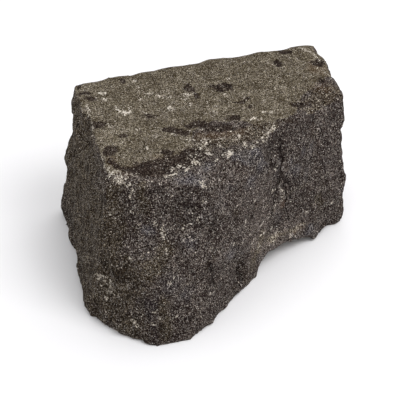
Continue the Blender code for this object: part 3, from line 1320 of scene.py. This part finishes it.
@dataclass(frozen=True)
class BasaltFinish:
    """The stone's colours and surface.

    Attributes:
        broken: Broken rock.
        crust: The weathered crust of the natural joints.
        stain: Earth and lichen stains on it.
        crumbly: The bruised, crumbling area behind the broken front edge.
        bruise: Crushed stone along the broken edges.
        fresh: Blue-grey rock that was split off last.
        film: The thin brown film on the left flank.
        needle_warm: The creamy needles and crystals.
        needle_cold: The white ones.
        rust: Iron staining.
        pit: The dark of pits, and of the painted shade in cracks.
        grain: The grain's tone.
        needles: The needles.
        specks: The small crystals and pits.
        surface: Gloss and relief.
        calm: Share of the grain's tone that broken rock keeps.
        calm_lift: What is added to that share.
        cool: Blue-grey patches in broken rock.
        brown: Brown patches in it.
        mottle: Mottling of the crust.
        edges: How the edge of each mark looks.
        chip_size: Size of the crushed chips in millimetres.
        chip_share: How much of their colour shows.
        chip_lift: How much paler they are than the grain's tone says.
        dark_share: How dark the pits and the painted shade in cracks are.
    """

    broken: Tones = Tones(
        (tone(19, 11, 9), tone(28, 19, 17), tone(37, 28, 25), tone(57, 47, 43), tone(142, 130, 122))
    )
    crust: Tones = Tones(
        (tone(38, 29, 15), tone(56, 47, 31), tone(76, 67, 52), tone(100, 91, 75), tone(166, 157, 140))
    )
    stain: Tones = Tones(
        (tone(15, 8, 5), tone(28, 18, 14), tone(39, 28, 23), tone(56, 46, 40), tone(112, 102, 92))
    )
    crumbly: Tones = Tones(
        (tone(15, 8, 3), tone(36, 25, 15), tone(58, 46, 34), tone(92, 79, 63), tone(206, 196, 178))
    )
    bruise: Tones = Tones(
        (tone(64, 54, 44), tone(118, 108, 94), tone(170, 161, 146), tone(214, 205, 191), tone(252, 246, 236))
    )
    fresh: Tones = Tones(
        (tone(19, 15, 18), tone(34, 30, 34), tone(51, 47, 52), tone(79, 75, 80), tone(170, 166, 166))
    )
    film: Tones = Tones(
        (tone(20, 13, 6), tone(32, 23, 14), tone(43, 34, 23), tone(67, 57, 43), tone(150, 138, 119))
    )
    needle_warm: Colour = tone(224, 211, 194)
    needle_cold: Colour = tone(226, 219, 214)
    rust: Colour = tone(84, 60, 40)
    pit: Colour = tone(17, 9, 7)
    grain: GrainLook = GrainLook()
    needles: NeedleLook = NeedleLook()
    specks: SpeckLook = SpeckLook()
    surface: SurfaceLook = SurfaceLook()
    calm: float = 0.92
    calm_lift: float = 0.048
    cool: Patches = Patches(34.0, 4.0, 0.6, 0.55, 0.68, 0.35)
    brown: Patches = Patches(46.0, 4.0, 0.65, 0.55, 0.68, 0.4)
    mottle: Clouds = Clouds(130.0, 5.0, 0.65, 0.42)
    edges: dict[Mark, Edge] = field(
        default_factory=lambda: {
            Mark.FRESH: Edge(6.0, 0.9, 0.25, 0.9),
            Mark.FILM: Edge(9.0, 0.9, 0.3, 0.9),
            Mark.CRUST: Edge(7.0, 0.6, 0.05),
            Mark.CRUMBLE: Edge(6.0, 0.8, 0.12, 0.9),
            Mark.RUST: Edge(6.0, 0.8, 0.25, 0.25),
            Mark.STAIN: Edge(3.0, 1.8, 0.05, 0.95),
            Mark.CRACK: Edge(2.2, 2.2, 0.2, 0.8),
        }
    )
    chip_size: float = 1.6
    chip_share: float = 0.92
    chip_lift: float = 0.05
    dark_share: float = 0.85


class BasaltPaint:
    """Builds the stone's material from its finish."""

    def __init__(self, finish: BasaltFinish) -> None:
        """Starts the material and makes its node groups.

        Args:
            finish: The stone's colours and surface.
        """
        self.finish = finish
        self.made = bpy.data.materials.new("weathered_basalt")
        self.made.use_nodes = True
        self.sheet = NodeSheet(self.made.node_tree)
        self.position = self.sheet.add("ShaderNodeTexCoord").outputs["Object"]
        self.ragged, self.needles, self.specks = ragged_edge_group(), needles_group(), specks_group()
        self.chips, self.grains = chips_group(), grains_group()

    def mark(self, which: Mark) -> Socket:
        """The value of one of the mesh's marks."""
        settings = {"attribute_name": which.value, "attribute_type": "GEOMETRY"}
        return self.sheet.add("ShaderNodeAttribute", **settings).outputs["Fac"]

    def placed(self, tree: bpy.types.NodeTree, **inputs: Socket | float) -> dict[str, Socket]:
        """A node group's outputs at the surface's own position."""
        return self.sheet.group(tree, {"Position": self.position} | inputs)

    def mask(self, which: Mark) -> Socket:
        """The mask of a mark, with its ragged edge.

        Args:
            which: The mark.

        Returns:
            The mask, at most the share that the mark's edge gives.
        """
        edge = self.finish.edges[which]
        inputs = {"Field": self.mark(which), "Size": edge.size, "Ragged": edge.ragged, "Edge": edge.soft}
        return self.sheet.share(self.placed(self.ragged, **inputs)["Mask"], edge.share)

    def grain_tone(self, fine: Socket, clump: Socket, lively: Socket) -> Socket:
        """The tone that the colours of every kind of surface are looked up by.

        Args:
            fine: The grains' own tones.
            clump: The clumps' tones.
            lively: The mask of the lively patches.

        Returns:
            The tone, from about 0.2 to 0.8.
        """
        look, sheet = self.finish.grain, self.sheet
        streak = self.mark(Mark.STREAK)
        upright = sheet.add("ShaderNodeMapping", {"Vector": self.position, "Scale": look.streak_scale})
        streaks = look.streaks.swing(sheet, upright.outputs[0])
        contrast = sheet.scaled(lively, look.lively_contrast, look.contrast)
        contrast = sheet.scaled(streak, look.streak_contrast, contrast)
        grain = sheet.math("MULTIPLY", sheet.math("SUBTRACT", fine, 0.5), contrast)
        grain = sheet.scaled(clump, look.clump, sheet.math("ADD", grain, look.middle))
        grain = sheet.scaled(look.broad.swing(sheet, self.position), look.broad.strength, grain)
        grain = sheet.scaled(sheet.math("MULTIPLY", streaks, streak), look.streaks.strength, grain)
        # Worn edges lighten the tone; hollows and the darkening shade zones darken it as painted shade.
        for mark, strength in look.by_mark:
            grain = sheet.scaled(self.mark(mark), strength, grain)
        return grain

    def broken_rock(self, grain: Socket, needle: Socket, pale: Socket) -> Socket:
        """Colour of the broken faces: rock with blue-grey and brown patches, and needles.

        Args:
            grain: The grain's tone.
            needle: The mask of the needles.
            pale: Their colour.

        Returns:
            The colour.
        """
        finish, sheet = self.finish, self.sheet
        calm = sheet.scaled(grain, finish.calm, finish.calm_lift)
        cool = sheet.math("MAXIMUM", finish.cool.mask(sheet, self.position), self.mask(Mark.FRESH))
        brown = sheet.math("MAXIMUM", finish.brown.mask(sheet, self.position), self.mask(Mark.FILM))
        rock = sheet.mix(cool, finish.broken.node(sheet, calm), finish.fresh.node(sheet, calm))
        rock = sheet.mix(brown, rock, finish.film.node(sheet, calm))
        shown = sheet.scaled(brown, finish.needles.on_brown, finish.needles.on_rock)
        return sheet.mix(sheet.math("MULTIPLY", needle, shown), rock, pale)

    def mottled_crust(self, grain: Socket, needle: Socket, pale: Socket) -> Socket:
        """Colour of the weathered joints.

        Args:
            grain: The grain's tone.
            needle: The mask of the needles.
            pale: Their colour.

        Returns:
            The colour.
        """
        finish, sheet = self.finish, self.sheet
        mottle = finish.mottle.swing(sheet, self.position)
        crust = finish.crust.node(sheet, sheet.scaled(mottle, finish.mottle.strength, grain))
        return sheet.mix(sheet.share(needle, finish.needles.on_crust), crust, pale)

    def marked(self, colour: Socket, grain: Socket, crumbled: Socket) -> Socket:
        """Lays the crumbling edge, rust, stains and crushed chips over a colour.

        Args:
            colour: The colour below.
            grain: The grain's tone.
            crumbled: The mask of the crumbling edge.

        Returns:
            The colour with its marks.
        """
        finish, sheet = self.finish, self.sheet
        colour = sheet.mix(crumbled, colour, finish.crumbly.node(sheet, grain))
        colour = sheet.mix(self.mask(Mark.RUST), colour, finish.rust)
        colour = sheet.mix(self.mask(Mark.STAIN), colour, finish.stain.node(sheet, grain))
        chips = self.placed(self.chips, Field=self.mark(Mark.BRUISE), Size=finish.chip_size)["Mask"]
        crushed = finish.bruise.node(sheet, sheet.scaled(grain, 1.0, finish.chip_lift))
        return sheet.mix(sheet.share(chips, finish.chip_share), colour, crushed)

    def specked(self, lively: Socket, crust: Socket, crumbled: Socket) -> tuple[Socket, Socket]:
        """Scatters the small crystals and pits.

        Args:
            lively: The mask of the lively patches.
            crust: The mask of the crust.
            crumbled: The mask of the crumbling edge.

        Returns:
            The mask of the crystals, and that of the pits and of the painted shade in cracks.
        """
        look, sheet = self.finish.specks, self.sheet
        pale = sheet.scaled(crust, look.crust_pale, sheet.scaled(lively, look.lively_pale, look.pale))
        pale = sheet.scaled(crumbled, look.crumbly_pale, pale)
        small = self.placed(self.specks, Size=look.size, Pale=pale, Dark=look.dark)
        pale = sheet.scaled(lively, look.bold_lively, look.bold_pale)
        bold = self.placed(self.specks, Size=look.bold_size, Pale=pale)
        crystals = sheet.math("MAXIMUM", small["Crystal"], bold["Crystal"])
        return crystals, sheet.math("MAXIMUM", small["Pit"], self.mask(Mark.CRACK))

    def build(self) -> bpy.types.Material:
        """Builds the whole material.

        Returns:
            The material.
        """
        finish, sheet, look = self.finish, self.sheet, self.finish.needles
        fine = self.placed(self.grains, Size=finish.grain.size)
        clump = self.placed(self.grains, Size=finish.grain.clump_size)
        lively = finish.grain.lively.mask(sheet, self.position)
        grain = self.grain_tone(fine["Tone"], clump["Tone"], lively)

        share = sheet.scaled(lively, look.lively_share, look.share)
        short = self.placed(self.needles, Size=look.short, Share=share)
        long = self.placed(self.needles, Size=look.long, Share=look.long_share)
        needle = sheet.math("MAXIMUM", short["Tint"], long["Tint"])
        pale = sheet.mix(short["Hue"], finish.needle_warm, finish.needle_cold)

        crust, crumbled = self.mask(Mark.CRUST), self.mask(Mark.CRUMBLE)
        colour = sheet.mix(
            crust, self.broken_rock(grain, needle, pale), self.mottled_crust(grain, needle, pale)
        )
        colour = self.marked(colour, grain, crumbled)
        crystals, dark = self.specked(lively, crust, crumbled)
        colour = sheet.mix(crystals, colour, pale)
        # Pits, and painted shade in the cracks, in the near-black pit colour.
        colour = sheet.mix(sheet.share(dark, finish.dark_share), colour, finish.pit)

        surface = finish.surface
        rough = sheet.scaled(needle, surface.needle_roughness, surface.roughness)
        relief = sheet.scaled(clump["Height"], surface.clump_relief, fine["Height"])
        relief = sheet.scaled(dark, surface.dark_relief, relief)
        bump = {"Strength": surface.strength, "Distance": surface.depth, "Height": relief}
        shader, link = self.made.node_tree.nodes["Principled BSDF"], self.made.node_tree.links.new
        shader.inputs["Specular IOR Level"].default_value = surface.specular
        link(colour, shader.inputs["Base Color"])
        link(sheet.scaled(crust, surface.crust_roughness, rough), shader.inputs["Roughness"])
        link(sheet.add("ShaderNodeBump", bump).outputs[0], shader.inputs["Normal"])
        return self.made


@dataclass
class BasaltBlock:
    """The whole object: one stone.

    Attributes:
        mesh: The fine mesh's sizes.
        finish: The stone's colours.
    """

    mesh: StoneMesh = field(default_factory=StoneMesh)
    finish: BasaltFinish = field(default_factory=BasaltFinish)

    def build(self) -> bpy.types.Object:
        """Builds the stone and sets it on its body in the frame.

        Returns:
            The stone.
        """
        stone = self.mesh.build()
        stone.data.materials.append(BasaltPaint(self.finish).build())
        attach(stone, BODY)
        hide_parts(NODE)
        triangles = sum(len(face.vertices) - 2 for face in stone.data.polygons)
        log.info("%s: %d triangles", stone.name, triangles)
        return stone


@dataclass(frozen=True)
class SoftLight:
    """A square studio light.

    Attributes:
        name: Its name.
        place: Where it stands.
        size: Its side.
        power: Its power in watts.
    """

    name: str
    place: tuple[float, float, float]
    size: float
    power: float

    def build(self, aim: Vector) -> bpy.types.Object:
        """Makes the light, turned to the aim.

        Args:
            aim: The point that it faces.

        Returns:
            The light.
        """
        data = bpy.data.lights.new(self.name, "AREA")
        data.size = self.size
        data.energy = self.power
        light = bpy.data.objects.new(self.name, data)
        light.location = self.place
        light.rotation_euler = (aim - Vector(self.place)).to_track_quat("-Z", "Y").to_euler()
        bpy.context.scene.collection.objects.link(light)
        return light


@dataclass
class Studio:
    """The plain pale floor, the soft light and the camera.

    Attributes:
        aim: The point that the camera looks at.
        elevation: The camera's height above the horizon, in degrees.
        azimuth: Its turn about the object, in degrees; 0 looks along +Y.
        distance: From the camera to the aim.
        lens: Its focal length in millimetres.
        sensor: Width of its sensor in millimetres.
        far_end: How far it sees.
        floor_size: Side of the floor.
        floor_colour: The floor's colour.
        floor_roughness: Its roughness.
        floor_specular: How much it reflects.
        sky_colour: Colour of the light from all round.
        sky: Brightness of that light.
        lights: The studio lights.
    """

    aim: tuple[float, float, float] = (-0.0184, -0.0034, 0.070)
    elevation: float = 40.0
    azimuth: float = -14.5
    distance: float = 1.2
    lens: float = 116.1
    sensor: float = 36.0
    far_end: float = 50.0
    floor_size: float = 12.0
    floor_colour: Colour = (0.92, 0.915, 0.93, 1.0)
    floor_roughness: float = 0.9
    floor_specular: float = 0.2
    sky_colour: Colour = (1.0, 1.0, 1.0, 1.0)
    sky: float = 0.76
    lights: tuple[SoftLight, ...] = (
        SoftLight("key_light", (0.512, -0.534, 1.369), 0.7, 11.0),
        SoftLight("back_light", (0.334, 0.606, 1.394), 1.0, 4.0),
    )

    def build(self) -> None:
        """Builds the floor, the light and the camera."""
        self._floor()
        for light in self.lights:
            light.build(Vector(self.aim))
        world = bpy.data.worlds.new("studio")
        world.use_nodes = True
        background = world.node_tree.nodes["Background"]
        background.inputs["Color"].default_value = self.sky_colour
        background.inputs["Strength"].default_value = self.sky
        bpy.context.scene.world = world
        bpy.context.scene.view_settings.view_transform = "Standard"
        self._camera()

    def _floor(self) -> None:
        """Lays the floor under the stone."""
        shape = bmesh.new()
        bmesh.ops.create_grid(shape, x_segments=1, y_segments=1, size=self.floor_size / 2)
        mesh = bpy.data.meshes.new("studio_floor")
        shape.to_mesh(mesh)
        shape.free()
        floor = bpy.data.objects.new("studio_floor", mesh)
        bpy.context.scene.collection.objects.link(floor)
        paint = bpy.data.materials.new("floor_paper")
        paint.use_nodes = True
        shader = paint.node_tree.nodes["Principled BSDF"]
        shader.inputs["Base Color"].default_value = self.floor_colour
        shader.inputs["Roughness"].default_value = self.floor_roughness
        shader.inputs["Specular IOR Level"].default_value = self.floor_specular
        mesh.materials.append(paint)

    def _camera(self) -> None:
        """Sets the camera at the photograph's viewing angle."""
        data = bpy.data.cameras.new("camera")
        data.sensor_width = self.sensor
        data.lens = self.lens
        data.clip_end = self.far_end
        camera = bpy.data.objects.new("camera", data)
        rise, turn = math.radians(self.elevation), math.radians(self.azimuth)
        back = Vector(
            (math.sin(turn) * math.cos(rise), -math.cos(turn) * math.cos(rise), math.sin(rise))
        )
        camera.location = Vector(self.aim) + back * self.distance
        camera.rotation_euler = (-back).to_track_quat("-Z", "Y").to_euler()
        bpy.context.scene.collection.objects.link(camera)
        bpy.context.scene.camera = camera


def main() -> None:
    """Builds the stone and the studio."""
    logging.basicConfig(level=logging.INFO, format="%(message)s")
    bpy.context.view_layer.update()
    BasaltBlock().build()
    Studio().build()


if __name__ == "__main__":
    main()
